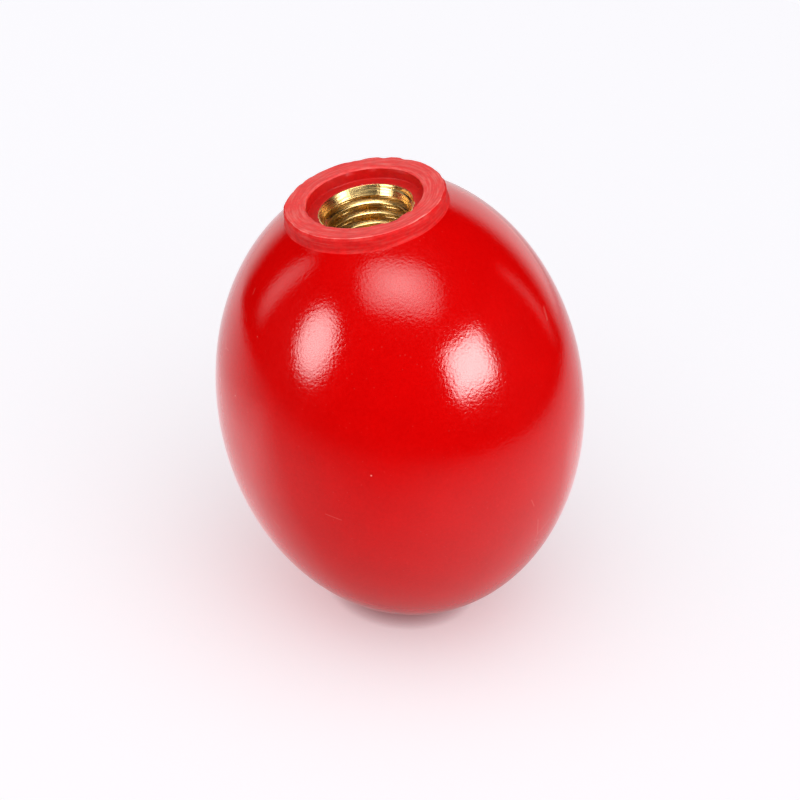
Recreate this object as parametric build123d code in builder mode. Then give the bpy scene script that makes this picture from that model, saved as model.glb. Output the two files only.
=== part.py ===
"""Egg-shaped lever knob: a moulded body around a knurled brass insert, tapped M10 x 1.25.

All lengths are in millimetres. The origin is the centre of the collar's flat seating face.
+Z runs along the thread and out of its mouth, so the whole knob lies below the face.
"""

import os
from math import acos, degrees, radians, sin, tan

from build123d import *

# Thread of the insert
thread_major_diameter = 10.0
thread_pitch = 1.25
# Depth of a basic 60 degree internal thread, as a share of its pitch
thread_depth_per_pitch = 0.5413
# Drilled depth below the insert's end face, to the shoulder of the drill's point
bore_depth = 15.0
drill_point_angle = 118.0

# Mouth of the insert
countersink_angle = 60.0
# How far the countersink's rim stands outside the thread's major radius
countersink_margin = 0.1
# Flat brass ring left around the countersink
mouth_land_width = 0.15

# Outside of the insert, gripped by the moulding
insert_wall = 1.5
insert_tail_chamfer = 1.0
# Brass left under the point of the drill
insert_floor = 2.4
waist_width = 2.5
waist_depth = 1.0
knurl_groove_count = 32
knurl_groove_depth = 0.4
knurl_groove_angle = 90.0

# Collar with the recess that keeps the brass below its face
recess_depth = 1.4
# Moulded floor of the recess, between its wall and the brass
recess_ledge_width = 1.05
recess_mouth_break = 0.15
collar_wall = 2.45
# From the cut face down to where the collar runs into the egg
collar_height = 1.6
collar_rim_break = 0.25
collar_root_fillet = 0.3

# Egg, an ellipse turned about the thread's axis
body_diameter = 40.0
# Both ends counted, as if the collar were not there
body_length = 52.0
# Faces between the tip and the collar: a single long one takes twice as many facets
egg_band_count = 4

# Radii, from the thread outwards
thread_major_radius = thread_major_diameter / 2
thread_minor_radius = thread_major_radius - thread_depth_per_pitch * thread_pitch
mouth_radius = thread_major_radius + countersink_margin
insert_face_radius = mouth_radius + mouth_land_width
insert_radius = thread_major_radius + insert_wall
waist_radius = insert_radius - waist_depth
recess_radius = insert_face_radius + recess_ledge_width
collar_radius = recess_radius + collar_wall
body_radius = body_diameter / 2

# Heights of the insert, from its end face down
insert_top = -recess_depth
nose_foot = insert_top - (insert_radius - insert_face_radius)
countersink_foot = insert_top - (mouth_radius - thread_minor_radius) / tan(radians(countersink_angle / 2))
bore_shoulder = insert_top - bore_depth
drill_tip = bore_shoulder - thread_minor_radius / tan(radians(drill_point_angle / 2))
insert_bottom = drill_tip - insert_floor
insert_length = insert_top - insert_bottom
waist_middle = (insert_top + insert_bottom) / 2
waist_top = waist_middle + waist_width / 2
waist_bottom = waist_middle - waist_width / 2

# The collar leaves the egg where the ellipse is as wide as the collar
collar_angle = degrees(acos(collar_radius / body_radius))
body_half_length = body_length / 2
egg_centre = -collar_height - body_half_length * sin(radians(collar_angle))
egg_tip = egg_centre - body_half_length

# A knurling groove is a V that runs on past the bar, so that no skin is left
groove_overrun = 0.5
groove_half_width = (knurl_groove_depth + groove_overrun) * tan(radians(knurl_groove_angle / 2))


# Outer form of the insert, without its bore: the brass and its moulded cavity share it
with BuildPart() as insert_blank:
    with BuildSketch(Plane.XZ):
        with BuildLine():
            Polyline(
                (0, insert_top),
                (insert_face_radius, insert_top),
                (insert_radius, nose_foot),
                (insert_radius, waist_top),
                (waist_radius, waist_top),
                (waist_radius, waist_bottom),
                (insert_radius, waist_bottom),
                (insert_radius, insert_bottom + insert_tail_chamfer),
                (insert_radius - insert_tail_chamfer, insert_bottom),
                (0, insert_bottom),
                close=True,
            )
        make_face()
    revolve(axis=Axis.Z)

    # Straight knurling: the V grooves run the whole length and miss only the deeper waist
    with BuildSketch(Plane.XY.offset(insert_top)):
        with PolarLocations(insert_radius, knurl_groove_count):
            Polygon(
                (-knurl_groove_depth, 0),
                (groove_overrun, -groove_half_width),
                (groove_overrun, groove_half_width),
                align=None,
            )
    extrude(amount=-insert_length, mode=Mode.SUBTRACT)


# Insert: the blank with its countersunk, drilled and tapped blind hole, at the thread's minor size
with BuildPart() as threaded_insert:
    add(insert_blank.part)
    with BuildSketch(Plane.XZ):
        with BuildLine():
            Polyline(
                (0, insert_top),
                (mouth_radius, insert_top),
                (thread_minor_radius, countersink_foot),
                (thread_minor_radius, bore_shoulder),
                (0, drill_tip),
                close=True,
            )
        make_face()
    revolve(axis=Axis.Z, mode=Mode.SUBTRACT)
threaded_insert.part.label = "threaded_insert"


# Body: the egg with its collar, moulded around the insert's outer form with no gap
with BuildPart() as knob_body:
    with BuildSketch(Plane.XZ):
        with BuildLine():
            band_angle = (90 + collar_angle) / egg_band_count
            for band in range(egg_band_count):
                band_start = band * band_angle - 90
                EllipticalCenterArc((0, egg_centre), body_radius, body_half_length, band_start, arc_size=band_angle)
            Polyline((collar_radius, -collar_height), (collar_radius, 0), (0, 0), (0, egg_tip))
        make_face()
    revolve(axis=Axis.Z)

    # The two highest circles are the collar's root and, above it, the rim of its cut face
    collar_root, collar_rim = knob_body.edges().filter_by(GeomType.CIRCLE).sort_by(Axis.Z)[-2:]
    chamfer(collar_rim, collar_rim_break)
    fillet(collar_root, collar_root_fillet)

    with BuildSketch(Plane.XY):
        Circle(recess_radius)
    extrude(amount=-recess_depth, mode=Mode.SUBTRACT)
    seat_face = knob_body.faces().sort_by(Axis.Z)[-1]
    recess_mouth = seat_face.edges().sort_by(SortBy.RADIUS)[0]
    chamfer(recess_mouth, recess_mouth_break)

    add(insert_blank.part, mode=Mode.SUBTRACT)
knob_body.part.label = "knob_body"


os.makedirs("parts", exist_ok=True)
export_step(knob_body.part, "parts/knob_body.step")
export_step(threaded_insert.part, "parts/threaded_insert.step")
print("length over all:", round(-egg_tip, 2))
print("collar diameter:", round(2 * collar_radius, 2))
print("insert length:", round(insert_length, 2))
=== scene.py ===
"""Egg-shaped lever knob, dressed for the studio: a glossy red moulding around a tapped brass insert.

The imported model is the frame. Two denser pieces stand for its two nodes: the moulding, with the
trimmed and chipped collar, and the insert, with its real thread. Sizes are in millimetres, and
become metres where a mesh is made. +Z runs along the thread and out of its mouth.
"""

import logging
from dataclasses import dataclass, field
from enum import Enum
from math import acos, asin, atan2, ceil, cos, degrees, hypot, pi, radians, sin, sqrt, tan

import bpy
import numpy as np
from mathutils import Matrix, Vector, noise

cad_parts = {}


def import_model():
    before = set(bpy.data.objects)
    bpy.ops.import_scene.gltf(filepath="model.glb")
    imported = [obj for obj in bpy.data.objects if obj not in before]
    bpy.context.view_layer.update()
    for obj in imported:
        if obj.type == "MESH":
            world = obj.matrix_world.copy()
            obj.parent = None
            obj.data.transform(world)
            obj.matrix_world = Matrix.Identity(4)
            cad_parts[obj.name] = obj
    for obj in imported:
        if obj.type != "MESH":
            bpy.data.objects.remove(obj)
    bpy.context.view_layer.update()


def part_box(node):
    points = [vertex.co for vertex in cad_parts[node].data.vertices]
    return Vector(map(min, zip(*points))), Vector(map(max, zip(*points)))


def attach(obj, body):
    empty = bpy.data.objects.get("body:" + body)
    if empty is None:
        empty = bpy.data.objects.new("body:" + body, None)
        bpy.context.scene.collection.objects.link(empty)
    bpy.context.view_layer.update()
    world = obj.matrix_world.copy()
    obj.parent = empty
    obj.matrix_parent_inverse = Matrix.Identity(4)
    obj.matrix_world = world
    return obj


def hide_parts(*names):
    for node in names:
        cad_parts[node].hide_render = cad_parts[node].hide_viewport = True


LOG = logging.getLogger("knob")
MM = 0.001
# Rows of a rounded corner, and the share of a run that its rounding may take
CORNER_ROWS = 3
CORNER_SHARE = 0.45
# How fast the noise round the axis changes with height, per mm
NOISE_RISE = 0.6
# Heights that are nearer than this count as equal, in mm
TOLERANCE = 0.001
# Basic 60 degree internal thread: its depth and half of its root's flat, as shares of its pitch
THREAD_DEPTH = 0.5413
ROOT_HALF_FLAT = 1 / 16
THREAD_FLANK_SLOPE = tan(radians(60))
BODY_NODE = "knob_body"
INSERT_NODE = "threaded_insert"


class Zone(Enum):
    """Stretches of the moulding that were left with different surfaces."""

    EGG = "moulded_gloss"
    SIDE = "collar_side"
    RIM = "collar_rim"
    FACE = "collar_face"
    RECESS = "recess_wall"
    LEDGE = "recess_ledge"


@dataclass(frozen=True)
class Corner:
    """A corner of a turned profile, in mm, with the surface that leads up to it.

    Attributes:
        r: Radius of the corner.
        z: Height of the corner.
        zone: Surface between the corner before and this one.
        step: Longest row on the way here.
        bend: Radius that rounds the corner.
    """

    r: float
    z: float
    zone: Zone = Zone.EGG
    step: float = 1.0
    bend: float = 0.0


@dataclass
class Profile:
    """Rows of a turned form, from its first point on the axis to its last."""

    r: list[float] = field(default_factory=list)
    z: list[float] = field(default_factory=list)
    zones: list[Zone] = field(default_factory=list)

    def add(self, r: float, z: float, zone: Zone = Zone.EGG) -> None:
        """Adds one row.

        Args:
            r: Radius of the row, in mm.
            z: Height of the row, in mm.
            zone: Surface of the faces that lead up to it.
        """
        self.r.append(r)
        self.z.append(z)
        self.zones.append(zone)

    def run(self, start: Corner, end: Corner) -> None:
        """Adds the rows of a straight run, without its start.

        Args:
            start: Where the run starts, which has its row already.
            end: Where the run ends; its zone and step hold for the run.
        """
        length = hypot(end.r - start.r, end.z - start.z)
        count = max(1, ceil(length / end.step))
        for i in range(1, count + 1):
            share = i / count
            self.add(start.r + (end.r - start.r) * share, start.z + (end.z - start.z) * share, end.zone)

    def follow(self, corners: list[Corner]) -> None:
        """Adds a path of straight runs with rounded corners, without its first corner.

        Args:
            corners: The path. The first has its row already, and the last isn't rounded.
        """
        here = corners[0]
        for corner, after in zip(corners[1:-1], corners[2:]):
            into = Vector((corner.r - here.r, corner.z - here.z))
            out = Vector((after.r - corner.r, after.z - corner.z))
            turn = into.angle(out)
            cut = min(corner.bend * tan(turn / 2), CORNER_SHARE * min(into.length, out.length))
            if cut <= 0:
                self.run(here, corner)
                here = corner
                continue
            tip = Vector((corner.r, corner.z))
            begin, end = tip - into.normalized() * cut, tip + out.normalized() * cut
            self.run(here, Corner(begin.x, begin.y, corner.zone, corner.step))
            for i in range(1, CORNER_ROWS + 1):
                t = i / CORNER_ROWS
                p = begin * (1 - t) ** 2 + tip * 2 * t * (1 - t) + end * t**2
                self.add(p.x, p.y, corner.zone if t < 0.5 else after.zone)
            here = Corner(end.x, end.y)
        self.run(here, corners[-1])


def turned_mesh(
    name: str, angles: np.ndarray, r: np.ndarray, z: np.ndarray, materials: list[int]
) -> bpy.types.Mesh:
    """Makes a closed mesh from rings of points that start and end on the axis.

    Args:
        name: Name of the mesh.
        angles: Angle of each column, in radians, counterclockwise seen from above.
        r: Radii in mm, rows by columns; the first and last rows are points on the axis.
        z: Heights in mm, rows by columns.
        materials: Material index of the faces that lead up to each row.

    Returns:
        The mesh, in metres, with smooth faces that point outwards.
    """
    rows, columns = r.shape
    ring = np.stack([r * np.cos(angles), r * np.sin(angles), z], axis=-1)[1:-1] * MM
    ends = np.array([[0, 0, z[0, 0] * MM], [0, 0, z[-1, 0] * MM]])
    points = np.concatenate([ring.reshape(-1, 3), ends])
    first, last = len(points) - 2, len(points) - 1
    index = np.arange((rows - 2) * columns).reshape(rows - 2, columns)
    beside = np.roll(index, -1, axis=1)
    quads = np.stack([index[:-1], beside[:-1], beside[1:], index[1:]], axis=-1).reshape(-1, 4)
    foot = [(first, int(b), int(a)) for a, b in zip(index[0], beside[0])]
    head = [(int(a), int(b), last) for a, b in zip(index[-1], beside[-1])]
    mesh = bpy.data.meshes.new(name)
    mesh.from_pydata(points.tolist(), [], quads.tolist() + foot + head)
    slots = np.repeat(materials[2:-1], columns).tolist()
    slots += [materials[1]] * columns + [materials[-1]] * columns
    mesh.polygons.foreach_set("material_index", slots)
    mesh.polygons.foreach_set("use_smooth", [True] * len(mesh.polygons))
    mesh.update()
    return mesh


def ring_noise(angle: float, z: float, per_turn: float, seed: float) -> float:
    """Noise that closes on itself round the axis.

    Args:
        angle: Angle in radians.
        z: Height in mm, which shifts the noise slowly.
        per_turn: About how many waves go round.
        seed: Picks another noise.

    Returns:
        A value between about -1 and 1.
    """
    reach = per_turn / (2 * pi)
    place = (cos(angle) * reach + seed, sin(angle) * reach - seed, z * NOISE_RISE + seed)
    return noise.noise(Vector(place))


def settle(name: str, mesh: bpy.types.Mesh, node: str) -> bpy.types.Object:
    """Puts a piece in the scene in place of a CAD node.

    Args:
        name: Name of the piece.
        mesh: Its mesh, in metres, in the shared frame.
        node: CAD node that it stands for.

    Returns:
        The piece.
    """
    piece = bpy.data.objects.new(name, mesh)
    bpy.context.scene.collection.objects.link(piece)
    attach(piece, "root")
    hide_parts(node)
    LOG.info("%s: %d points, %d faces, stands for %s", name, len(mesh.vertices), len(mesh.polygons), node)
    return piece


@dataclass(frozen=True)
class InsertForm:
    """Outside of the insert, which the moulding's cavity shares. All in mm."""

    top: float
    bottom: float
    face_radius: float = 5.25
    radius: float = 6.5
    tail_chamfer: float = 1.0
    waist_width: float = 2.5
    waist_depth: float = 1.0
    groove_count: int = 32
    groove_depth: float = 0.4

    @classmethod
    def from_frame(cls) -> "InsertForm":
        """Takes the insert's two end heights from the frame."""
        low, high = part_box(INSERT_NODE)
        return cls(top=high.z / MM, bottom=low.z / MM)

    def corners(self, zone: Zone, step: float) -> list[Corner]:
        """The outline from the centre of the tail up to the rim of the end face.

        Args:
            zone: Surface that its rows get.
            step: Longest row, in mm.

        Returns:
            The corners, from the axis outwards and up.
        """
        middle = (self.top + self.bottom) / 2
        waist = self.radius - self.waist_depth
        outline = [
            (0.0, self.bottom),
            (self.radius - self.tail_chamfer, self.bottom),
            (self.radius, self.bottom + self.tail_chamfer),
            (self.radius, middle - self.waist_width / 2),
            (waist, middle - self.waist_width / 2),
            (waist, middle + self.waist_width / 2),
            (self.radius, middle + self.waist_width / 2),
            (self.radius, self.top - (self.radius - self.face_radius)),
            (self.face_radius, self.top),
        ]
        return [Corner(r, z, zone, step) for r, z in outline]

    def groove_edge(self) -> float:
        """Angle from a groove's middle to where its V reaches the full radius, in radians."""
        return acos((self.radius - self.groove_depth) / self.radius / sqrt(2)) - pi / 4

    def angles(self, flank_parts: int, land_parts: int) -> np.ndarray:
        """Column angles that fall on the bottom and on both edges of every groove.

        Args:
            flank_parts: Columns along one flank of a groove.
            land_parts: Columns along half of the land beside it.

        Returns:
            The angles in radians, once round.
        """
        edge, half_pitch = self.groove_edge(), pi / self.groove_count
        flank = [edge * i / flank_parts for i in range(flank_parts + 1)]
        land = [edge + (half_pitch - edge) * i / land_parts for i in range(1, land_parts)]
        half = flank + land
        groove = [-a for a in reversed(half[1:])] + half + [half_pitch]
        return np.array([2 * half_pitch * k + a for k in range(self.groove_count) for a in groove])

    def knurl(self, angles: np.ndarray, r: np.ndarray) -> np.ndarray:
        """Cuts the straight knurling into rows of the outside.

        Args:
            angles: Column angles in radians.
            r: Radii in mm, rows by columns.

        Returns:
            The radii with the V grooves.
        """
        pitch = 2 * pi / self.groove_count
        away = np.abs((angles + pitch / 2) % pitch - pitch / 2)
        flank = (self.radius - self.groove_depth) / (np.cos(away) - np.sin(away))
        return np.minimum(r, flank)


@dataclass
class ThreadedInsert:
    """Brass insert with a knurled outside and a countersunk, tapped blind hole. All in mm."""

    form: InsertForm
    thread_major_radius: float = 5.0
    thread_pitch: float = 1.25
    countersink_angle: float = 60.0
    countersink_margin: float = 0.1
    bore_depth: float = 15.0
    drill_point_angle: float = 118.0
    # The tap's lead leaves the last turns shallow
    full_thread_depth: float = 12.5
    # Height of the first whole groove on the far side, which sets where the thread starts
    first_groove: float = -2.75
    # Rows of the outside, of the thread where it is seen, and of the thread below that depth
    outside_row: float = 1.2
    mouth_row: float = 0.04
    mouth_zone_depth: float = 5.5
    deep_row: float = 0.07
    # Edge between the end face and the countersink: its rows, its rounding and its depth
    edge_row: float = 0.1
    edge_bend: float = 0.03
    edge_depth: float = 0.05
    # Depth at which the thread may start to cut the wall
    thread_start: float = 0.04
    # Turns over which the thread runs out at its end
    runout_turns: float = 2.0

    def minor_radius(self) -> float:
        """Radius of the thread's crests, from the basic 60 degree form."""
        return self.thread_major_radius - THREAD_DEPTH * self.thread_pitch

    def groove_radius(self, angle: np.ndarray, z: np.ndarray) -> np.ndarray:
        """Radius that the thread's groove reaches at a place on the wall.

        Args:
            angle: Angles in radians.
            z: Heights in mm.

        Returns:
            The radii in mm, a right-hand helix with flat roots and crests.
        """
        pitch = self.thread_pitch
        turns = (z - self.first_groove) / pitch - (angle - pi / 2) / (2 * pi)
        away = np.abs(turns - np.round(turns)) * pitch
        flank = self.thread_major_radius - (away - pitch * ROOT_HALF_FLAT) * THREAD_FLANK_SLOPE
        groove = np.clip(flank, self.minor_radius(), self.thread_major_radius)
        below = self.form.top - self.full_thread_depth - z
        fade = np.clip(1 - below / (self.runout_turns * pitch), 0, 1)
        return self.minor_radius() + (groove - self.minor_radius()) * fade

    def build(self, finish: "TurnedBrass", effects: "SurfaceEffects") -> bpy.types.Object:
        """Makes the insert and dresses it.

        Args:
            finish: The brass.
            effects: Shared node groups.

        Returns:
            The piece, which stands for the CAD insert.
        """
        form, minor = self.form, self.minor_radius()
        mouth = self.thread_major_radius + self.countersink_margin
        slope = tan(radians(self.countersink_angle / 2))
        shoulder = form.top - self.bore_depth
        tip = shoulder - minor / tan(radians(self.drill_point_angle / 2))
        profile = Profile()
        outside = form.corners(Zone.EGG, self.outside_row)
        profile.add(outside[0].r, outside[0].z)
        for start, end in zip(outside, outside[1:]):
            profile.run(start, end)
        outer_rows = len(profile.r)
        edge = Corner(mouth, form.top, step=self.edge_row, bend=self.edge_bend)
        below_edge = Corner(mouth - self.edge_depth * slope, form.top - self.edge_depth)
        profile.follow([outside[-1], edge, below_edge])
        z = profile.z[-1]
        while z > shoulder:
            z -= self.mouth_row if z > form.top - self.mouth_zone_depth else self.deep_row
            z = max(z, shoulder)
            profile.add(max(minor, mouth - (form.top - z) * slope), z)
        halfway = Corner(minor / 2, (shoulder + tip) / 2)
        profile.follow([Corner(minor, shoulder), halfway, Corner(0, tip)])

        angles = form.angles(flank_parts=2, land_parts=1)
        r = np.repeat(np.array(profile.r)[:, None], len(angles), axis=1)
        heights = np.repeat(np.array(profile.z)[:, None], len(angles), axis=1)
        r[:outer_rows] = form.knurl(angles, r[:outer_rows])
        walls = (heights < form.top - self.thread_start) & (heights >= shoulder)
        walls[:outer_rows] = False
        r = np.where(walls, np.maximum(r, self.groove_radius(angles[None, :], heights)), r)
        mesh = turned_mesh("brass_insert", angles, r, heights, [0] * len(profile.r))
        piece = settle("brass_insert", mesh, INSERT_NODE)
        piece.data.materials.append(finish.material(effects))
        return piece


@dataclass
class KnobBody:
    """Moulded egg with its trimmed collar and the recess around the brass. All in mm."""

    form: InsertForm
    body_radius: float
    tip: float
    body_length: float = 52.0
    collar_radius: float = 8.75
    root_fillet: float = 0.3
    rim_break: float = 0.25
    recess_radius: float = 6.3
    mouth_break: float = 0.15
    recess_depth: float = 1.4
    # Rows of the egg and of the fillet, and longest rows elsewhere
    egg_rows: int = 110
    fillet_rows: int = 6
    face_row: float = 0.14
    wall_row: float = 0.12
    edge_row: float = 0.06
    tear_row: float = 0.04
    cavity_row: float = 1.2
    # Rounding of the inner corners and of the broken edges
    corner_bend: float = 0.12
    edge_bend: float = 0.06
    # Deepest places where the trimming tool broke bits off the rim and the recess's mouth
    rim_chip: float = 0.32
    mouth_chip: float = 0.32
    # How far from the edge a chip reaches
    rim_chip_reach: float = 0.55
    mouth_chip_reach: float = 0.5
    # Depth of a chip straight down, as a share of its depth inwards
    rim_chip_drop: float = 0.5
    mouth_chip_drop: float = 0.4
    # How much small and large chips count at the rim
    small_chips: float = 1.1
    large_chips: float = 0.9
    # Noise at which a chip of the mouth starts, and how fast it deepens from there
    nick_start: float = 0.05
    nick_growth: float = 1.4
    # Torn upper part of the broken rim
    rim_tear: float = 0.1
    # How far the cut face and the ledge wander
    face_wander: float = 0.02
    ledge_wander: float = 0.05
    # Depth below the face at which the side wanders in full
    side_wander_depth: float = 0.4
    # Thin resin flash that crept over the edge of the brass
    flash_reach: float = 0.26
    flash_height: float = 0.03
    flash_width: float = 0.05
    # Height of the flash's foot, as a share of its own height
    flash_foot: float = 0.1
    # How much its fine waves count beside the broad ones
    flash_frill: float = 0.4

    @classmethod
    def from_frame(cls, form: InsertForm) -> "KnobBody":
        """Takes the body's radius and its tip from the frame.

        Args:
            form: Outside of the insert, which the cavity shares.

        Returns:
            The body.
        """
        low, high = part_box(BODY_NODE)
        return cls(form=form, body_radius=high.x / MM, tip=low.z / MM)

    def egg_point(self, angle: float) -> tuple[float, float]:
        """Point of the ellipse at an eccentric angle in radians, as radius and height."""
        half = self.body_length / 2
        return self.body_radius * cos(angle), self.tip + half + half * sin(angle)

    def root_start(self) -> tuple[float, float, float]:
        """Finds where the fillet under the collar touches the egg.

        Returns:
            The eccentric angle there, the height of the fillet's centre, and the direction from
            that centre to the egg, both angles in radians.
        """
        half = self.body_length / 2
        centre_radius = self.collar_radius + self.root_fillet
        low, high, halvings = 0.0, pi / 2, 60
        for _ in range(halvings):
            angle = (low + high) / 2
            r, z = self.egg_point(angle)
            normal = Vector((cos(angle) / self.body_radius, sin(angle) / half)).normalized()
            if r + self.root_fillet * normal.x > centre_radius:
                low = angle
            else:
                high = angle
        return angle, z + self.root_fillet * normal.y, atan2(-normal.y, -normal.x)

    def profile(self) -> Profile:
        """Draws the whole section, from the egg's tip round the collar to the cavity's floor.

        Returns:
            Its rows.
        """
        profile = Profile()
        touch, fillet_z, direction = self.root_start()
        for i in range(self.egg_rows + 1):
            profile.add(*self.egg_point(-pi / 2 + (touch + pi / 2) * i / self.egg_rows), Zone.EGG)
        centre = self.collar_radius + self.root_fillet
        first_angle = direction % (2 * pi)
        for i in range(1, self.fillet_rows + 1):
            angle = first_angle + (pi - first_angle) * i / self.fillet_rows
            r = centre + self.root_fillet * cos(angle)
            profile.add(r, fillet_z + self.root_fillet * sin(angle), Zone.SIDE)
        collar, recess, lip = self.collar_radius, self.recess_radius, self.form.face_radius
        tear = Vector((collar - self.rim_break, 0)) + Vector((1, -1)).normalized() * self.rim_tear
        flash_top = self.form.top + self.flash_height
        flash_foot = self.form.top + self.flash_foot * self.flash_height
        profile.follow(
            [
                Corner(collar, fillet_z),
                Corner(collar, -self.rim_break, Zone.SIDE, self.wall_row, self.corner_bend),
                Corner(tear.x, tear.y, Zone.SIDE, self.edge_row),
                Corner(collar - self.rim_break, 0, Zone.RIM, self.tear_row, self.edge_bend),
                Corner(recess + self.mouth_break, 0, Zone.FACE, self.face_row, self.edge_bend),
                Corner(recess, -self.mouth_break, Zone.FACE, self.edge_row, self.edge_bend),
                Corner(recess, -self.recess_depth, Zone.RECESS, self.wall_row, self.corner_bend),
                Corner(lip, flash_top, Zone.LEDGE, self.wall_row),
                Corner(lip, flash_foot, Zone.LEDGE),
                Corner(lip, self.form.top, Zone.LEDGE),
            ]
        )
        cavity = list(reversed(self.form.corners(Zone.LEDGE, self.cavity_row)))
        for start, end in zip(cavity, cavity[1:]):
            profile.run(start, end)
        return profile

    def weather(self, angle: float, r: float, z: float, zone: Zone) -> tuple[float, float]:
        """Moves one point of the collar as the trimming left it, never out of the CAD form.

        Args:
            angle: Angle of the point in radians.
            r: Its radius in mm.
            z: Its height in mm.
            zone: The surface it lies on.

        Returns:
            The new radius and height.
        """
        rim_reach = max(0.0, 1 - hypot(r - self.collar_radius, z) / self.rim_chip_reach)
        mouth_reach = max(0.0, 1 - hypot(r - self.recess_radius, z) / self.mouth_chip_reach)
        small = ring_noise(angle, 0, per_turn=46, seed=3.1)
        large = ring_noise(angle, 0, per_turn=17, seed=8.7)
        chips = max(0.0, small) * self.small_chips + max(0.0, large) * self.large_chips
        nick = ring_noise(angle, 0, per_turn=34, seed=5.3)
        nicks = max(0.0, nick - self.nick_start) * self.nick_growth
        r -= self.rim_chip * chips * rim_reach
        z -= self.rim_chip * self.rim_chip_drop * chips * rim_reach
        r += self.mouth_chip * nicks * mouth_reach
        z -= self.mouth_chip * self.mouth_chip_drop * nicks * mouth_reach
        if zone is Zone.FACE:
            z -= self.face_wander * (0.5 + 0.5 * ring_noise(angle, r, per_turn=9, seed=1.9))
        if zone is Zone.SIDE:
            wander = 0.5 + 0.5 * ring_noise(angle, z * 2, per_turn=28, seed=6.1)
            r -= self.face_wander * wander * min(1.0, abs(z) / self.side_wander_depth)
        if zone is Zone.LEDGE and r > self.form.face_radius + self.flash_width:
            z += self.ledge_wander * (0.4 + ring_noise(angle, r * 2, per_turn=22, seed=2.7))
        elif zone is Zone.LEDGE:
            broad = ring_noise(angle, 0, per_turn=26, seed=9.4)
            fine = ring_noise(angle, 0, per_turn=90, seed=4.2)
            r -= self.flash_reach * max(0.0, broad + self.flash_frill * fine)
        return r, z

    def build(self, finishes: dict[Zone, "RedPhenolic"], effects: "SurfaceEffects") -> bpy.types.Object:
        """Makes the moulding and dresses each of its surfaces.

        Args:
            finishes: Finish of each zone.
            effects: Shared node groups.

        Returns:
            The piece, which stands for the CAD body.
        """
        profile = self.profile()
        angles = self.form.angles(flank_parts=4, land_parts=2)
        r = np.repeat(np.array(profile.r)[:, None], len(angles), axis=1)
        z = np.repeat(np.array(profile.z)[:, None], len(angles), axis=1)
        for row, zone in enumerate(profile.zones):
            if zone is not Zone.EGG and z[row, 0] > self.form.top + TOLERANCE:
                for column, angle in enumerate(angles):
                    moved = self.weather(angle, r[row, column], z[row, column], zone)
                    r[row, column], z[row, column] = moved
        cavity = z[:, 0] < self.form.top - TOLERANCE
        cavity[: self.egg_rows + 1 + self.fillet_rows] = False
        r[cavity] = self.form.knurl(angles, r[cavity])
        order = list(Zone)
        mesh = turned_mesh("red_moulding", angles, r, z, [order.index(zone) for zone in profile.zones])
        piece = settle("red_moulding", mesh, BODY_NODE)
        for zone in order:
            piece.data.materials.append(finishes[zone].material(effects))
        return piece


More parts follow.
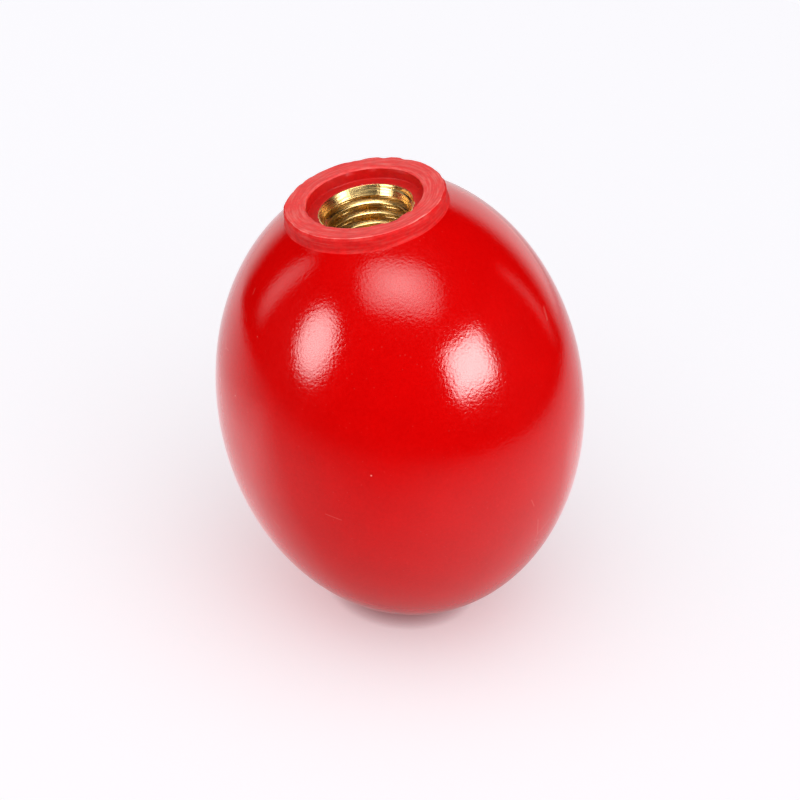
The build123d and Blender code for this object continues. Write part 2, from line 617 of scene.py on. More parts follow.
class NodeWriter:
    """Writes shader nodes into a tree, a line for each."""

    def __init__(self, tree: bpy.types.NodeTree) -> None:
        """Starts on a tree.

        Args:
            tree: The node tree of a material, world or group.
        """
        self.tree = tree

    def node(self, kind: str, settings: dict | None = None, **inputs: object) -> bpy.types.Node:
        """Adds a node.

        Args:
            kind: Blender's name of the node type.
            settings: Attributes to set before its sockets are used.
            **inputs: Sockets by name, with _ for a space; a socket is linked, anything else is set.

        Returns:
            The node.
        """
        node = self.tree.nodes.new(kind)
        for name, value in (settings or {}).items():
            setattr(node, name, value)
        for name, value in inputs.items():
            self.feed(node.inputs[name.replace("_", " ")], value)
        return node

    def feed(self, socket: bpy.types.NodeSocket, value: object) -> None:
        """Links a socket to an output, or sets its value.

        Args:
            socket: The input.
            value: An output to link, or the value to set.
        """
        if isinstance(value, bpy.types.NodeSocket):
            self.tree.links.new(value, socket)
        else:
            socket.default_value = value

    def math(self, operation: str, *values: object, clamp: bool = False) -> bpy.types.NodeSocket:
        """Adds a Math node.

        Args:
            operation: Its operation.
            *values: Sockets or numbers, in order.
            clamp: Whether the result is kept between 0 and 1.

        Returns:
            Its output.
        """
        node = self.node("ShaderNodeMath", {"operation": operation, "use_clamp": clamp})
        for socket, value in zip(node.inputs, values):
            self.feed(socket, value)
        return node.outputs["Value"]

    def remap(
        self, value: object, low: object, high: object, to_low: object = 0.0, to_high: object = 1.0
    ) -> bpy.types.NodeSocket:
        """Adds a clamped Map Range node.

        Args:
            value: What is mapped.
            low: Where the range starts.
            high: Where it ends.
            to_low: Result at the start.
            to_high: Result at the end.

        Returns:
            Its output.
        """
        names = {"From_Min": low, "From_Max": high, "To_Min": to_low, "To_Max": to_high}
        return self.node("ShaderNodeMapRange", Value=value, **names).outputs["Result"]

    def blend(self, mask: object, first: object, second: object) -> bpy.types.NodeSocket:
        """Mixes two colours by a mask.

        Args:
            mask: 0 gives the first, 1 the second.
            first: A colour or a socket.
            second: A colour or a socket.

        Returns:
            The mixed colour.
        """
        # The node has sockets for every kind of data, so the colours' are told by number
        node = self.node("ShaderNodeMix", {"data_type": "RGBA"})
        self.feed(node.inputs[0], mask)
        self.feed(node.inputs[6], first)
        self.feed(node.inputs[7], second)
        return node.outputs[2]

    def bump(
        self, distance: float, height: bpy.types.NodeSocket, before: bpy.types.NodeSocket | None = None
    ) -> bpy.types.NodeSocket:
        """Adds a Bump node.

        Args:
            distance: Height of the relief, in metres.
            height: Its form, between 0 and 1.
            before: Normal that it builds on, or nothing for the mesh's own.

        Returns:
            The new normal.
        """
        under = {} if before is None else {"Normal": before}
        return self.node("ShaderNodeBump", Distance=distance, Height=height, **under).outputs["Normal"]

    def measure(self, operation: str, *vectors: object) -> bpy.types.NodeSocket:
        """Adds a Vector Math node that gives a number.

        Args:
            operation: Its operation.
            *vectors: Sockets or vectors, in order.

        Returns:
            Its output.
        """
        node = self.node("ShaderNodeVectorMath", {"operation": operation})
        for socket, value in zip(node.inputs, vectors):
            self.feed(socket, value)
        return node.outputs["Value"]

    def choose(self, mask: bpy.types.NodeSocket, *shaders: bpy.types.NodeSocket) -> bpy.types.NodeSocket:
        """Adds a Mix Shader node.

        Args:
            mask: 0 gives the first shader, 1 the second.
            *shaders: Outputs of two shaders.

        Returns:
            The mixed shader.
        """
        node = self.node("ShaderNodeMixShader", Fac=mask)
        for socket, shader in zip(node.inputs[1:], shaders):
            self.feed(socket, shader)
        return node.outputs["Shader"]

    def place(self) -> bpy.types.NodeSocket:
        """The object's own coordinates, in metres."""
        return self.node("ShaderNodeTexCoord").outputs["Object"]


class SurfaceEffects:
    """Node groups that several finishes share, each made once."""

    def __init__(self) -> None:
        """Makes the groups."""
        self.mottle = self.make_mottle()
        self.specks = self.make_specks()
        self.turning = self.make_turning()
        self.hairlines = self.make_hairlines()

    @staticmethod
    def use(
        w: NodeWriter, effect: bpy.types.NodeTree, place: bpy.types.NodeSocket, **numbers: float
    ) -> bpy.types.NodeSocket:
        """Puts an effect into a material.

        Args:
            w: Writer of the material's tree.
            effect: The group.
            place: Coordinates that it follows.
            **numbers: Its number inputs by name, with _ for a space.

        Returns:
            Its output.
        """
        return w.node("ShaderNodeGroup", {"node_tree": effect}, Vector=place, **numbers).outputs[0]

    @staticmethod
    def group(
        name: str, numbers: dict[str, float], output: str
    ) -> tuple[bpy.types.NodeTree, NodeWriter, bpy.types.NodeOutputs, bpy.types.NodeInputs]:
        """Starts a group with a vector input, number inputs and one output.

        Args:
            name: Name of the group.
            numbers: Number inputs with their defaults.
            output: Name of its output.

        Returns:
            The tree, its writer, the sockets that bring its inputs and those that take its output.
        """
        tree = bpy.data.node_groups.new(name, "ShaderNodeTree")
        tree.interface.new_socket("Vector", in_out="INPUT", socket_type="NodeSocketVector")
        for label, value in numbers.items():
            socket = tree.interface.new_socket(label, in_out="INPUT", socket_type="NodeSocketFloat")
            socket.default_value = value
        tree.interface.new_socket(output, in_out="OUTPUT", socket_type="NodeSocketFloat")
        writer = NodeWriter(tree)
        given = writer.node("NodeGroupInput").outputs
        return tree, writer, given, writer.node("NodeGroupOutput").inputs

    def make_mottle(self) -> bpy.types.NodeTree:
        """Makes soft clouds between 0 and 1: uneven colour, or a surface that isn't quite smooth.

        Returns:
            The group.
        """
        tree, w, given, out = self.group("mottle", {"Scale": 100.0, "Detail": 2.0, "Contrast": 1.0}, "Value")
        clouds = w.node(
            "ShaderNodeTexNoise", Vector=given["Vector"], Scale=given["Scale"], Detail=given["Detail"]
        )
        centred = w.math("SUBTRACT", clouds.outputs["Fac"], 0.5)
        w.feed(out["Value"], w.math("MULTIPLY_ADD", centred, given["Contrast"], 0.5, clamp=True))
        return tree

    def make_specks(self) -> bpy.types.NodeTree:
        """Makes small round spots in a share of the cells of a lattice: dust and pale grains.

        Returns:
            The group.
        """
        tree, w, given, out = self.group("specks", {"Scale": 1000.0, "Size": 0.2, "Share": 0.1}, "Mask")
        smallest, core = 0.35, 0.55
        cells = w.node("ShaderNodeTexVoronoi", Vector=given["Vector"], Scale=given["Scale"])
        chance = w.node("ShaderNodeSeparateColor", Color=cells.outputs["Color"])
        picked = w.math("LESS_THAN", chance.outputs["Red"], given["Share"])
        share = w.remap(chance.outputs["Green"], 0.0, 1.0, smallest, 1.0)
        away = w.math("DIVIDE", cells.outputs["Distance"], w.math("MULTIPLY", given["Size"], share))
        w.feed(out["Mask"], w.math("MULTIPLY", w.remap(away, core, 1.0, 1.0, 0.0), picked))
        return tree

    def make_turning(self) -> bpy.types.NodeTree:
        """Makes broken rings round the axis, as a cutting tool leaves them on a face or in a bore.

        Returns:
            The group.
        """
        numbers = {"Scale": 5000.0, "Breaks": 5.0, "Height Share": 0.0}
        tree, w, given, out = self.group("turning", numbers, "Height")
        place = w.node("ShaderNodeSeparateXYZ", Vector=given["Vector"]).outputs
        squares = [w.math("MULTIPLY", place[axis], place[axis]) for axis in "XY"]
        radius = w.math("SQRT", w.math("ADD", *squares))
        along = w.math("MULTIPLY_ADD", place["Z"], given["Height Share"], radius)
        turned = w.node("ShaderNodeCombineXYZ", Z=w.math("MULTIPLY", along, given["Scale"]))
        for axis in "XY":
            share = w.math("DIVIDE", place[axis], radius)
            w.feed(turned.inputs[axis], w.math("MULTIPLY", share, given["Breaks"]))
        rings = w.node("ShaderNodeTexNoise", Vector=turned.outputs["Vector"], Scale=1.0, Detail=3.0)
        w.feed(out["Height"], rings.outputs["Fac"])
        return tree

    def make_hairlines(self) -> bpy.types.NodeTree:
        """Makes thin broken scratches in two directions.

        Returns:
            The group.
        """
        tree, w, given, out = self.group("hairlines", {"Scale": 60.0, "Width": 0.02, "Share": 0.5}, "Mask")
        masks = []
        texture, edges = {"vector_type": "TEXTURE"}, {"feature": "DISTANCE_TO_EDGE"}
        directions = ((0.4, 0.3, 0.9), (1.3, 0.8, 2.2))
        for turn in directions:
            mapping = w.node("ShaderNodeMapping", texture, Vector=given["Vector"], Rotation=turn)
            turned = mapping.outputs["Vector"]
            bands = w.node("ShaderNodeTexVoronoi", edges, Vector=turned, Scale=given["Scale"])
            gate = w.node("ShaderNodeTexNoise", Vector=turned, Scale=150.0, Detail=1.0)
            line = w.math("LESS_THAN", bands.outputs["Distance"], given["Width"])
            kept = w.math("GREATER_THAN", gate.outputs["Fac"], given["Share"])
            masks.append(w.math("MULTIPLY", line, kept))
        w.feed(out["Mask"], w.math("MAXIMUM", *masks))
        return tree


def cleared(owner: bpy.types.Material | bpy.types.World) -> NodeWriter:
    """Empties the node tree of a material or a world.

    Args:
        owner: The material or the world.

    Returns:
        A writer of its tree.
    """
    owner.use_nodes = True
    owner.node_tree.nodes.clear()
    return NodeWriter(owner.node_tree)


def new_material(name: str) -> tuple[bpy.types.Material, NodeWriter, bpy.types.Node]:
    """Starts a material with a Principled BSDF on its output.

    Args:
        name: Name of the material.

    Returns:
        The material, its writer and the shader.
    """
    material = bpy.data.materials.new(name)
    writer = cleared(material)
    shader = writer.node("ShaderNodeBsdfPrincipled")
    writer.node("ShaderNodeOutputMaterial", Surface=shader.outputs["BSDF"])
    return material, writer, shader


@dataclass(frozen=True)
class RedPhenolic:
    """Red moulding resin, polished by the mould or trimmed afterwards.

    Attributes:
        name: Name of the material.
        color: Its colour, linear.
        pale: Colour of specks, chips and scuffs.
        roughness: Roughness of the shader, where it isn't marked.
        cloud_contrast: How uneven the colour is.
        color_spread: How far the colour strays to either side, as a share.
        grain_scale: Fineness of the grain, in waves a metre.
        grain_height: Height of the fine grain, in metres.
        wave_height: Height of the slow waves, in metres.
        turning_height: Height of the tool's rings, in metres.
        speck_share: Share of the places that carry a pale speck.
        dust_share: Share of the places that carry a faint grain of dust.
        scuff: How much of the pale colour the tool left in its rings.
        scuff_range: Heights of the rings where the pale colour starts and is full.
        speck_strength: How pale a speck is.
        dust_strength: How pale a grain of dust is.
        scratch_strength: How pale a scratch is.
        mark_roughness: How much rougher a mark is, where it is fully pale.
        grain_roughness: How far the roughness varies with the grain.
        ring_breaks: How often the rings break off.
        ring_rise: How far the rings change with height, which lays them round a wall.
        ior: Refractive index, which sets how strong the gloss is.
    """

    name: str
    color: tuple[float, float, float]
    pale: tuple[float, float, float] = (0.90, 0.35, 0.30)
    roughness: float = 0.5
    cloud_contrast: float = 1.2
    color_spread: float = 0.14
    grain_scale: float = 2000.0
    grain_height: float = 0.000004
    wave_height: float = 0.0
    turning_height: float = 0.0
    speck_share: float = 0.02
    dust_share: float = 0.3
    scuff: float = 0.0
    scuff_range: tuple[float, float] = (0.45, 0.75)
    speck_strength: float = 0.6
    dust_strength: float = 0.035
    scratch_strength: float = 0.09
    mark_roughness: float = 0.25
    grain_roughness: float = 0.08
    ring_breaks: float = 3.0
    ring_rise: float = 0.0
    ior: float = 1.6

    def material(self, effects: SurfaceEffects) -> bpy.types.Material:
        """Builds the material.

        Args:
            effects: Shared node groups.

        Returns:
            The material.
        """
        material, w, shader = new_material(self.name)
        place = w.place()
        clouds = effects.use(w, effects.mottle, place, Scale=260.0, Detail=5.0, Contrast=self.cloud_contrast)
        grain = effects.use(w, effects.mottle, place, Scale=self.grain_scale, Detail=2.0, Contrast=1.6)
        specks = effects.use(w, effects.specks, place, Scale=1100.0, Size=0.16, Share=self.speck_share)
        dust = effects.use(w, effects.specks, place, Scale=1900.0, Size=0.22, Share=self.dust_share)
        scratches = effects.use(w, effects.hairlines, place, Scale=150.0, Width=0.008, Share=0.72)
        turning = {"Scale": 5000.0, "Breaks": self.ring_breaks, "Height_Share": self.ring_rise}
        rings = effects.use(w, effects.turning, place, **turning)
        dark = tuple(c * (1 - self.color_spread) for c in self.color)
        light = tuple(min(1.0, c * (1 + self.color_spread)) for c in self.color)
        shade = w.math("MULTIPLY_ADD", clouds, 0.5, w.math("MULTIPLY", grain, 0.5))
        base = w.blend(shade, (*dark, 1), (*light, 1))
        marked = w.math("MULTIPLY", w.remap(rings, *self.scuff_range), self.scuff)
        marks = (
            (specks, self.speck_strength),
            (dust, self.dust_strength),
            (scratches, self.scratch_strength),
        )
        for mask, strength in marks:
            marked = w.math("MAXIMUM", marked, w.math("MULTIPLY", mask, strength))
        w.feed(shader.inputs["Base Color"], w.blend(marked, base, (*self.pale, 1)))
        smoothest = self.roughness - self.grain_roughness / 2
        rough = w.math("MULTIPLY_ADD", grain, self.grain_roughness, smoothest)
        rough = w.math("MULTIPLY_ADD", marked, self.mark_roughness, rough, clamp=True)
        w.feed(shader.inputs["Roughness"], rough)
        shader.inputs["IOR"].default_value = self.ior
        normal = w.bump(self.grain_height, grain)
        if self.wave_height:
            waves = effects.use(w, effects.mottle, place, Scale=110.0, Detail=1.0, Contrast=1.0)
            normal = w.bump(self.wave_height, waves, normal)
        if self.turning_height:
            normal = w.bump(self.turning_height, rings, normal)
        w.feed(shader.inputs["Normal"], normal)
        return material


@dataclass(frozen=True)
class TurnedBrass:
    """Bright brass with the rings of the tool and the tap.

    Attributes:
        name: Name of the material.
        color: Its colour, linear.
        tarnish: Colour of the duller patches.
        roughness: Roughness of the shader, where it is bright.
        worn_roughness: How much rougher it is, where it is fully dull.
        groove_range: Heights of the rings where the dull grooves start and are full.
        groove_tarnish: How dull the grooves are.
        cloud_range: Strengths of the clouds where the dull patches start and are full.
        cloud_tarnish: How dull the patches are.
        brushing: How far the gloss is drawn out across the rings.
        brushing_turn: Direction of the brushing, as a share of a whole turn.
        turning_height: Height of the rings, in metres.
        chatter_height: Height of the ribs that the tool's chatter left along the wall, in metres.
    """

    name: str = "turned_brass"
    color: tuple[float, float, float] = (0.94, 0.68, 0.28)
    tarnish: tuple[float, float, float] = (0.40, 0.23, 0.08)
    roughness: float = 0.23
    worn_roughness: float = 0.2
    groove_range: tuple[float, float] = (0.52, 0.34)
    groove_tarnish: float = 0.85
    cloud_range: tuple[float, float] = (0.6, 1.0)
    cloud_tarnish: float = 0.4
    brushing: float = 0.75
    brushing_turn: float = 0.25
    turning_height: float = 0.00002
    chatter_height: float = 0.000014

    def material(self, effects: SurfaceEffects) -> bpy.types.Material:
        """Builds the material.

        Args:
            effects: Shared node groups.

        Returns:
            The material.
        """
        material, w, shader = new_material(self.name)
        place = w.place()
        clouds = effects.use(w, effects.mottle, place, Scale=420.0, Detail=4.0, Contrast=2.0)
        rings = effects.use(w, effects.turning, place, Scale=4500.0, Breaks=2.5, Height_Share=1.3)
        chatter = effects.use(w, effects.turning, place, Scale=500.0, Breaks=22.0, Height_Share=1.3)
        specks = effects.use(w, effects.specks, place, Scale=2400.0, Size=0.3, Share=0.07)
        grooves = w.math("MULTIPLY", w.remap(rings, *self.groove_range), self.groove_tarnish)
        patches = w.remap(clouds, *self.cloud_range, 0.0, self.cloud_tarnish)
        worn = w.math("MAXIMUM", patches, w.math("MAXIMUM", specks, grooves))
        w.feed(shader.inputs["Base Color"], w.blend(worn, (*self.color, 1), (*self.tarnish, 1)))
        shader.inputs["Metallic"].default_value = 1.0
        shader.inputs["Anisotropic"].default_value = self.brushing
        shader.inputs["Anisotropic Rotation"].default_value = self.brushing_turn
        around = w.node("ShaderNodeTangent", {"direction_type": "RADIAL", "axis": "Z"})
        w.feed(shader.inputs["Tangent"], around.outputs["Tangent"])
        rough = w.math("MULTIPLY_ADD", worn, self.worn_roughness, self.roughness, clamp=True)
        w.feed(shader.inputs["Roughness"], rough)
        ribbed = w.bump(self.chatter_height, chatter)
        w.feed(shader.inputs["Normal"], w.bump(self.turning_height, rings, ribbed))
        return material


@dataclass(frozen=True)
class PhotoCamera:
    """The camera that took the picture, as far as the egg and its collar tell.

    Attributes:
        elevation: How far it stands above the plane of the collar's face, in degrees.
        lean: How far the knob's axis leans to the left in the picture, in degrees.
        distance: From the body's centre, in mm.
        focal: Focal length, in pixels of the picture.
        width: Width of the picture, in pixels.
        body_centre: Where the body's centre falls in the picture, in pixels.
        sensor: Width of the sensor, in mm.
        sight: Nearest and farthest that it sees, in metres.
    """

    elevation: float = 31.9
    lean: float = 10.4
    distance: float = 400.0
    focal: float = 3660.0
    width: int = 800
    body_centre: tuple[float, float] = (400.5, 394.5)
    sensor: float = 36.0
    sight: tuple[float, float] = (0.01, 20.0)

    def basis(self) -> tuple[Vector, Vector, Vector]:
        """Turns the camera's angles into directions.

        Returns:
            The picture's right and up, and the way back to the camera.
        """
        tilt, roll = radians(self.elevation), radians(-self.lean)
        back = Vector((0, -cos(tilt), sin(tilt)))
        level, up = Vector((1, 0, 0)), Vector((0, sin(tilt), cos(tilt)))
        return level * cos(roll) + up * sin(roll), up * cos(roll) - level * sin(roll), back

    def build(self, target: Vector) -> bpy.types.Object:
        """Makes the scene's camera.

        Args:
            target: Centre of the body, in metres.

        Returns:
            The camera.
        """
        right, up, back = self.basis()
        data = bpy.data.cameras.new("photo_camera")
        data.sensor_width = self.sensor
        data.lens = self.focal / self.width * self.sensor
        data.clip_start, data.clip_end = self.sight
        camera = bpy.data.objects.new("photo_camera", data)
        bpy.context.scene.collection.objects.link(camera)
        reach = self.distance * MM
        aside = (self.body_centre[0] - self.width / 2) / self.focal * reach
        below = (self.width / 2 - self.body_centre[1]) / self.focal * reach
        place = target + back * reach - right * aside - up * below
        turn = Matrix((right, up, back)).transposed().to_4x4()
        camera.matrix_world = Matrix.Translation(place) @ turn
        bpy.context.scene.camera = camera
        LOG.info("camera at %s, lens %.1f mm", tuple(round(c, 4) for c in place), data.lens)
        return camera


@dataclass(frozen=True)
class SoftBox:
    """A soft lamp with a hot centre, aimed at the knob.

    Attributes:
        name: Name of the lamp.
        azimuth: Direction from the knob, in degrees from +X.
        elevation: Height above the knob's XY plane, in degrees.
        size: Its two sides, as shares of its distance.
        roll: Turn in its own plane, in degrees.
        radiance: Brightness of its centre, where 1 is white.
        crispness: How late its brightness falls off towards its edges.
        squareness: Form of its bright part: 2 is an oval, and more squares it out.
        lit: Name of the one collection that it lights, or nothing where it lights all.
        glossy: Whether it shows in the gloss.
        distance: From the knob, in metres.
    """

    name: str
    azimuth: float
    elevation: float
    size: tuple[float, float]
    roll: float
    radiance: float
    crispness: float = 2.0
    squareness: float = 3.0
    lit: str = ""
    glossy: bool = True
    distance: float = 1.6

    def fade(self, tree: bpy.types.NodeTree) -> None:
        """Lets the brightness fall from the centre of the lamp's face to its edges.

        Args:
            tree: Node tree of the lamp.
        """
        tree.nodes.clear()
        w = NodeWriter(tree)
        face = w.node("ShaderNodeNewGeometry").outputs["Parametric"]
        parts = w.node("ShaderNodeSeparateXYZ", Vector=face)
        powers = []
        for axis in "XY":
            away = w.math("ABSOLUTE", w.math("MULTIPLY_ADD", parts.outputs[axis], 2.0, -1.0))
            powers.append(w.math("POWER", away, self.squareness))
        reach = w.math("POWER", w.math("ADD", *powers), self.crispness / self.squareness)
        glow = w.node("ShaderNodeEmission", Strength=w.math("SUBTRACT", 1.0, reach, clamp=True))
        w.node("ShaderNodeOutputLight", Surface=glow.outputs["Emission"])

    def build(self, target: Vector) -> bpy.types.Object:
        """Makes the lamp.

        Args:
            target: What it is aimed at, in metres.

        Returns:
            The lamp.
        """
        a, e = radians(self.azimuth), radians(self.elevation)
        out = Vector((cos(e) * cos(a), cos(e) * sin(a), sin(e)))
        across = Vector((0, 0, 1)).cross(out).normalized()
        above = out.cross(across)
        turn = radians(self.roll)
        side = across * cos(turn) + above * sin(turn)
        rise = out.cross(side)
        data = bpy.data.lights.new(self.name, "AREA")
        data.shape = "RECTANGLE"
        data.size, data.size_y = (s * self.distance for s in self.size)
        data.energy = self.radiance * pi * data.size * data.size_y
        data.use_nodes = True
        self.fade(data.node_tree)
        lamp = bpy.data.objects.new(self.name, data)
        turned = Matrix((side, rise, out)).transposed().to_4x4()
        lamp.matrix_world = Matrix.Translation(target + out * self.distance) @ turned
        bpy.context.scene.collection.objects.link(lamp)
        lamp.visible_glossy = self.glossy
        if self.lit:
            lamp.light_linking.receiver_collection = bpy.data.collections[self.lit]
        LOG.info("lamp %s, %.2f W", self.name, data.energy)
        return lamp


@dataclass
class Studio:
    """Pale floor under the knob, soft lamps and a white world.

    Attributes:
        camera: The camera, which the floor's slope is told from.
        body: The knob's body, which the floor touches.
        camera_height: How far the camera stands above the floor, in degrees.
        floor_lean: How far the floor's upright leans to the right in the picture, in degrees.
        floor_radius: In mm. Its edge is the arc that the gloss shows.
        floor_color: Colour of the floor, linear.
        floor_glow: Share of its light that comes up through the floor, as on a light table.
        painted_contact_shadow_reach: How far from the knob the painted contact shadow darkens the floor, in
            mm.
        painted_contact_shadow_color: Colour of the painted contact shadow, where the knob shuts the floor in.
        pool_centre: Middle of the painted bright pool that only the gloss shows on the floor, in mm, right
            and away.
        pool_turn: Turn of the pool, in degrees.
        pool_radii: Half sizes of the pool, in mm.
        pool_edge: How steeply the pool fades.
        pool_fade: How much it fades out to its half sizes.
        shade_place: How far to the right the painted shade of the camera lies, in mm.
        shade_width: Width of that shade, in mm.
        shade_edge: How far behind the knob the shade starts, and in front is full, in mm.
        shade_depth: How much of the pool it takes.
        near_glow: Painted brightness beside and behind the knob in the gloss, as a share of the floor's own.
        near_reach: How far that glow holds and where it ends, in mm.
        near_edge: Where that glow starts in front of the knob and where it is full, in mm.
        near_slant: How far that edge falls back towards the right, in mm for each mm.
        sky: Brightness of the fill from the floor's level and from above.
        room: Brightness of the room in front, in the gloss.
        backdrop_rise: How far above the camera's line the white backdrop's middle stands, in degrees.
        backdrop_edge: Angles from that middle where its edge ends and starts, in degrees.
        white: Colour of the background that the camera sees.
    """

    camera: PhotoCamera
    body: KnobBody
    camera_height: float = 35.0
    floor_lean: float = 6.0
    floor_radius: float = 155.0
    floor_color: tuple[float, float, float] = (0.885, 0.877, 0.91)
    floor_glow: float = 0.38
    painted_contact_shadow_reach: float = 2.1
    painted_contact_shadow_color: tuple[float, float, float] = (0.24, 0.004, 0.02)
    pool_centre: tuple[float, float] = (-53.0, 120.0)
    pool_turn: float = 43.9
    pool_radii: tuple[float, float] = (104.5, 200.7)
    pool_edge: float = 3.05
    pool_fade: float = 0.7
    shade_place: float = -13.0
    shade_width: float = 27.0
    shade_edge: float = 20.0
    shade_depth: float = 0.39
    near_glow: float = 1.1
    near_reach: tuple[float, float] = (50.0, 115.0)
    near_edge: tuple[float, float] = (-24.0, 8.0)
    near_slant: float = 0.25
    sky: tuple[float, float] = (0.20, 0.34)
    room: float = 0.004
    backdrop_rise: float = 25.0
    backdrop_edge: tuple[float, float] = (47.0, 33.0)
    white: tuple[float, float, float] = (0.975, 0.965, 1.0)

    def upright(self) -> Vector:
        """Finds how the floor stands under the leaning knob.

        Returns:
            The floor's normal.
        """
        right, up, back = self.camera.basis()
        height, lean = radians(self.camera_height), radians(self.floor_lean)
        return (up * cos(lean) + right * sin(lean)) * cos(height) + back * sin(height)

    def touch(self) -> Vector:
        """Finds where the egg rests on the floor.

        Returns:
            The point, in metres.
        """
        half = self.body.body_length / 2
        squares = Vector((self.body.body_radius**2, self.body.body_radius**2, half**2))
        normal = self.upright()
        pull = Vector(s * n for s, n in zip(squares, normal))
        centre = Vector((0, 0, self.body.tip + half))
        return (centre - pull / sqrt(pull.dot(normal))) * MM

    def painted_reflection_share(self, w: NodeWriter) -> bpy.types.NodeSocket:
        """Painted share of the floor's brightness that only the gloss shows at a place.

        Args:
            w: Writer of the floor's material.

        Returns:
            A painted soft slanting pool of light, with a painted shade of the camera across its front.
        """
        # Painted light and shade on the floor, which only glossy rays see: a bright pool, the camera's shade
        # across it and a glow near the knob
        place = w.place()
        parts = w.node("ShaderNodeSeparateXYZ", Vector=place).outputs
        centre = tuple(c * MM for c in self.pool_centre)
        radii = tuple(r * MM for r in self.pool_radii)
        pool = w.node(
            "ShaderNodeMapping",
            {"vector_type": "TEXTURE"},
            Vector=place,
            Location=(*centre, 0),
            Rotation=(0, 0, radians(self.pool_turn)),
            Scale=(*radii, 1),
        )
        away = w.measure("LENGTH", pool.outputs["Vector"])
        power = w.math("POWER", away, self.pool_edge)
        drop = w.math("EXPONENT", w.math("MULTIPLY", power, -self.pool_fade))
        aside = w.math("SUBTRACT", parts["X"], self.shade_place * MM)
        bell = w.math("POWER", w.math("DIVIDE", aside, self.shade_width * MM), 2.0)
        edge = self.shade_edge * MM
        front = w.remap(parts["Y"], edge, -edge, 0.0, self.shade_depth)
        shade = w.math("MULTIPLY", w.math("EXPONENT", w.math("MULTIPLY", bell, -1.0)), front)
        slanting = w.math("MULTIPLY", drop, w.math("SUBTRACT", 1.0, shade))
        full, none = (r * MM for r in self.near_reach)
        fade = w.remap(w.measure("LENGTH", place), full, none, 1.0, 0.0)
        start, whole = (y * MM for y in self.near_edge)
        slanted = w.math("MULTIPLY_ADD", parts["X"], -self.near_slant, parts["Y"])
        behind = w.remap(slanted, start, whole, 0.0, self.near_glow)
        return w.math("MAXIMUM", slanting, w.math("MULTIPLY", fade, behind))

    def floor_material(self) -> bpy.types.Material:
        """Makes a pale matte floor that glows a little, with a painted contact shadow and painted light and
        shade for the gloss, and isn't seen from below.

        Returns:
            The material.
        """
        material = bpy.data.materials.new("pale_floor")
        w = cleared(material)
        path = w.node("ShaderNodeLightPath")
        # Painted contact shadow: the floor's colour darkens where the knob shuts it in, for the camera only
        painted_shadow_occlusion = w.node("ShaderNodeAmbientOcclusion", {"samples": 8}, Distance=self.painted_contact_shadow_reach * MM)
        painted_shadow_strength = w.math("SUBTRACT", 1.0, painted_shadow_occlusion.outputs["AO"])
        painted_contact_shadow = w.math("MULTIPLY", path.outputs["Is Camera Ray"], painted_shadow_strength)
        color = w.blend(painted_contact_shadow, (*self.floor_color, 1), (*self.painted_contact_shadow_color, 1))
        # Painted reflection: glossy rays see the floor's colour scaled by this painted share
        painted_reflection_gain = w.math("SUBTRACT", self.painted_reflection_share(w), 1.0)
        shown = w.math("MULTIPLY_ADD", path.outputs["Is Glossy Ray"], painted_reflection_gain, 1.0)
        scaled = w.node("ShaderNodeVectorMath", {"operation": "SCALE"}, Vector=color, Scale=shown)
        surface = scaled.outputs["Vector"]
        matte = w.node("ShaderNodeBsdfDiffuse", Color=surface)
        glow = w.node("ShaderNodeEmission", Color=surface, Strength=self.floor_glow)
        pale = w.node("ShaderNodeAddShader")
        w.feed(pale.inputs[0], matte.outputs["BSDF"])
        w.feed(pale.inputs[1], glow.outputs["Emission"])
        clear = w.node("ShaderNodeBsdfTransparent")
        below = w.node("ShaderNodeNewGeometry").outputs["Backfacing"]
        sided = w.choose(below, pale.outputs["Shader"], clear.outputs["BSDF"])
        w.node("ShaderNodeOutputMaterial", Surface=sided)
        return material

    def build_floor(self) -> bpy.types.Object:
        """Makes the round floor, which the egg touches at one point.

        Returns:
            The floor.
        """
        sides = 128
        reach = self.floor_radius * MM
        rim = [(reach * cos(2 * pi * i / sides), reach * sin(2 * pi * i / sides), 0) for i in range(sides)]
        mesh = bpy.data.meshes.new("floor")
        mesh.from_pydata(rim, [], [tuple(range(sides))])
        mesh.materials.append(self.floor_material())
        floor = bpy.data.objects.new("floor", mesh)
        normal = self.upright()
        right = self.camera.basis()[0]
        right = (right - normal * right.dot(normal)).normalized()
        turn = Matrix((right, normal.cross(right), normal)).transposed().to_4x4()
        floor.matrix_world = Matrix.Translation(self.touch()) @ turn
        bpy.context.scene.collection.objects.link(floor)
        LOG.info("floor leans %.1f degrees from the knob's XY plane", degrees(acos(normal.z)))
        return floor

    def build_world(self) -> bpy.types.World:
        """Makes the world: white to the camera, a room with a backdrop to the gloss, and a soft fill.

        Returns:
            The world.
        """
        world = bpy.data.worlds.new("studio")
        w = cleared(world)
        path = w.node("ShaderNodeLightPath").outputs
        out = w.node("ShaderNodeTexCoord").outputs["Generated"]
        rise = w.measure("DOT_PRODUCT", out, tuple(self.upright()))
        _, up, back = self.camera.basis()
        tilt = radians(self.backdrop_rise)
        behind = w.measure("DOT_PRODUCT", out, tuple(up * sin(tilt) - back * cos(tilt)))
        outer, inner = (cos(radians(a)) for a in self.backdrop_edge)
        sky = w.remap(rise, 0.0, 1.0, *self.sky)
        backdrop = w.remap(behind, outer, inner, self.room, 1.0)
        fill = w.node("ShaderNodeBackground", Color=(1, 1, 1, 1), Strength=sky)
        room = w.node("ShaderNodeBackground", Color=(1, 1, 1, 1), Strength=backdrop)
        white = w.node("ShaderNodeBackground", Color=(*self.white, 1), Strength=1.0)
        unlit = w.choose(path["Is Glossy Ray"], fill.outputs["Background"], room.outputs["Background"])
        shown = w.math("MAXIMUM", path["Is Camera Ray"], path["Is Transmission Ray"])
        both = w.choose(shown, unlit, white.outputs["Background"])
        w.node("ShaderNodeOutputWorld", Surface=both)
        bpy.context.scene.world = world
        return world

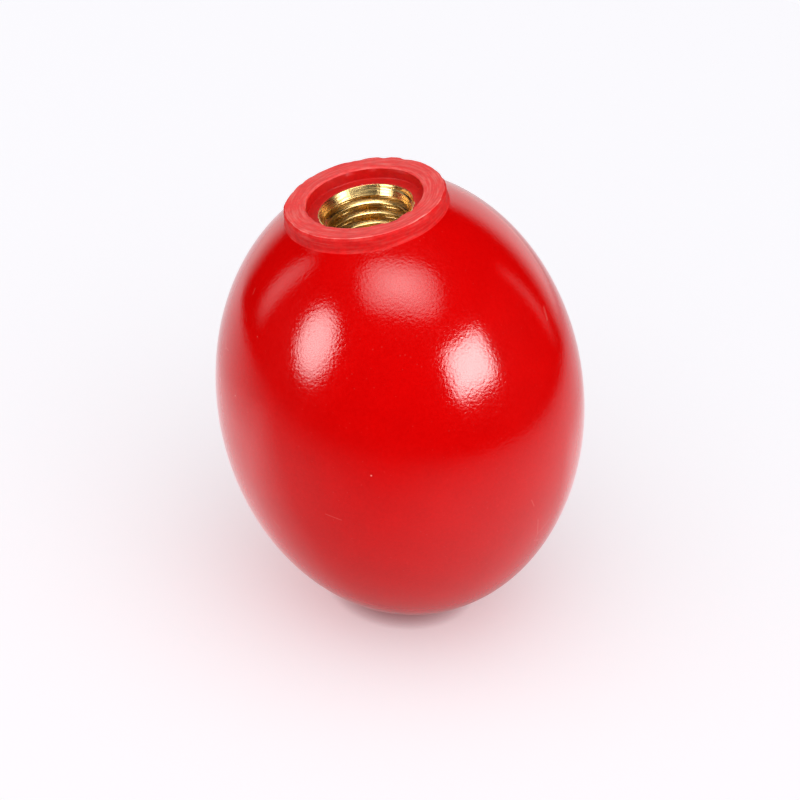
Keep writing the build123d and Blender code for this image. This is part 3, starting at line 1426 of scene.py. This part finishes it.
    def bearing(self, height: float, aside: float) -> tuple[float, float]:
        """Direction over the floor, told in the knob's frame.

        Args:
            height: Angle above the floor, in degrees.
            aside: Angle from the camera's side of the floor towards its left, in degrees.

        Returns:
            Azimuth from +X and elevation above the XY plane, in degrees.
        """
        right, _, back = self.camera.basis()
        normal = self.upright()
        front = (back - normal * back.dot(normal)).normalized()
        left = normal.cross(front) * -1
        level = front * cos(radians(aside)) + left * sin(radians(aside))
        out = normal * sin(radians(height)) + level * cos(radians(height))
        return degrees(atan2(out.y, out.x)), degrees(asin(out.z))

    def build(self, target: Vector, pieces: dict[str, list[bpy.types.Object]]) -> None:
        """Makes the floor, the world and the lamps.

        Light linking keeps each lamp to the whole knob, to the brass or to the floor.

        Args:
            target: Centre of the body, in metres.
            pieces: The knob's pieces, by the name of what a lamp may be kept to.
        """
        lit = {**pieces, "floor_only": [self.build_floor()]}
        for name, objects in lit.items():
            group = bpy.data.collections.new(name)
            for thing in objects:
                group.objects.link(thing)
        self.build_world()
        for lamp in self.lamps():
            lamp.build(target)

    def lamps(self) -> list[SoftBox]:
        """Lists the lamps.

        Returns:
            Each with its name, azimuth, elevation, size, roll, radiance, crispness, squareness and
            the name of what it lights.
        """
        return [
            SoftBox("left_softbox", -149.0, 27.1, (0.51, 0.67), -26.0, 8.0, 3.2, 2.2, "knob_only"),
            SoftBox("right_softbox", -41.5, 8.5, (0.62, 0.42), -2.0, 11.6, 4.4, 4.5, "knob_only"),
            SoftBox("top_softbox", -65.3, 58.6, (1.10, 0.67), -30.0, 4.5, 1.25, 3.0, "knob_only"),
            SoftBox("left_strip", 161.0, 31.0, (0.26, 0.85), -10.0, 1.15, 2.0, 3.0, "knob_only"),
            SoftBox("right_strip", 24.5, -1.0, (0.12, 0.66), 18.0, 0.4, 2.0, 3.0, "knob_only"),
            SoftBox("fill_softbox", -50.0, 68.0, (1.6, 1.6), 0.0, 1.05, 2.0, 3.0, "knob_only", glossy=False),
            SoftBox("left_fill", -172.0, 14.0, (1.3, 1.3), 0.0, 0.85, 2.0, 3.0, "knob_only", glossy=False),
            SoftBox("right_fill", -8.0, -6.0, (1.3, 1.3), 0.0, 0.8, 2.0, 3.0, "knob_only", glossy=False),
            SoftBox("bore_softbox", -90.0, 82.0, (1.0, 0.9), 0.0, 7.0, 2.0, 3.0, "brass_only"),
            SoftBox("mouth_softbox", -33.0, 27.0, (0.56, 0.56), 0.0, 5.5, 1.8, 3.0, "brass_only"),
            SoftBox("floor_softbox", *self.bearing(65.0, 4.0), (2.6, 2.6), 0.0, 1.12, 2.0, 3.0, "floor_only"),
        ]


def red_finishes() -> dict[Zone, RedPhenolic]:
    """Lists the red resin as each stretch of the moulding shows it.

    Returns:
        The finish of each zone.
    """
    return {
        Zone.EGG: RedPhenolic(
            Zone.EGG.value,
            (0.54, 0.0001, 0.0001),
            roughness=0.105,
            grain_scale=3300.0,
            grain_height=0.0000105,
            wave_height=0.000005,
            speck_share=0.013,
        ),
        Zone.SIDE: RedPhenolic(
            Zone.SIDE.value,
            (0.60, 0.003, 0.003),
            roughness=0.6,
            color_spread=0.3,
            grain_height=0.00003,
            speck_share=0.03,
            scuff=0.1,
            ring_rise=1.0,
            ior=1.3,
        ),
        Zone.RIM: RedPhenolic(
            Zone.RIM.value,
            (0.74, 0.05, 0.045),
            roughness=0.5,
            color_spread=0.25,
            grain_height=0.00003,
            speck_share=0.2,
            scuff=0.9,
            ring_rise=1.0,
        ),
        Zone.FACE: RedPhenolic(
            Zone.FACE.value,
            (0.76, 0.028, 0.026),
            roughness=0.58,
            color_spread=0.25,
            grain_height=0.00002,
            turning_height=0.000014,
            scuff=0.36,
        ),
        Zone.RECESS: RedPhenolic(
            Zone.RECESS.value,
            (0.54, 0.002, 0.002),
            roughness=0.45,
            color_spread=0.25,
            grain_height=0.00002,
            speck_share=0.05,
            ior=1.45,
        ),
        Zone.LEDGE: RedPhenolic(
            Zone.LEDGE.value,
            (0.56, 0.008, 0.006),
            roughness=0.5,
            color_spread=0.25,
            grain_height=0.00002,
            speck_share=0.1,
            ior=1.45,
        ),
    }


def main() -> None:
    """Builds the knob, the camera and the studio, in that order."""
    logging.basicConfig(level=logging.INFO, format="%(name)s: %(message)s")
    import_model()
    bpy.context.scene.view_settings.view_transform = "Standard"
    effects = SurfaceEffects()
    form = InsertForm.from_frame()
    body = KnobBody.from_frame(form)
    moulding = body.build(red_finishes(), effects)
    insert = ThreadedInsert(form).build(TurnedBrass(), effects)
    target = Vector((0, 0, (body.tip + body.body_length / 2) * MM))
    camera = PhotoCamera()
    camera.build(target)
    Studio(camera, body).build(target, {"knob_only": [moulding, insert], "brass_only": [insert]})


if __name__ == "__main__":
    main()
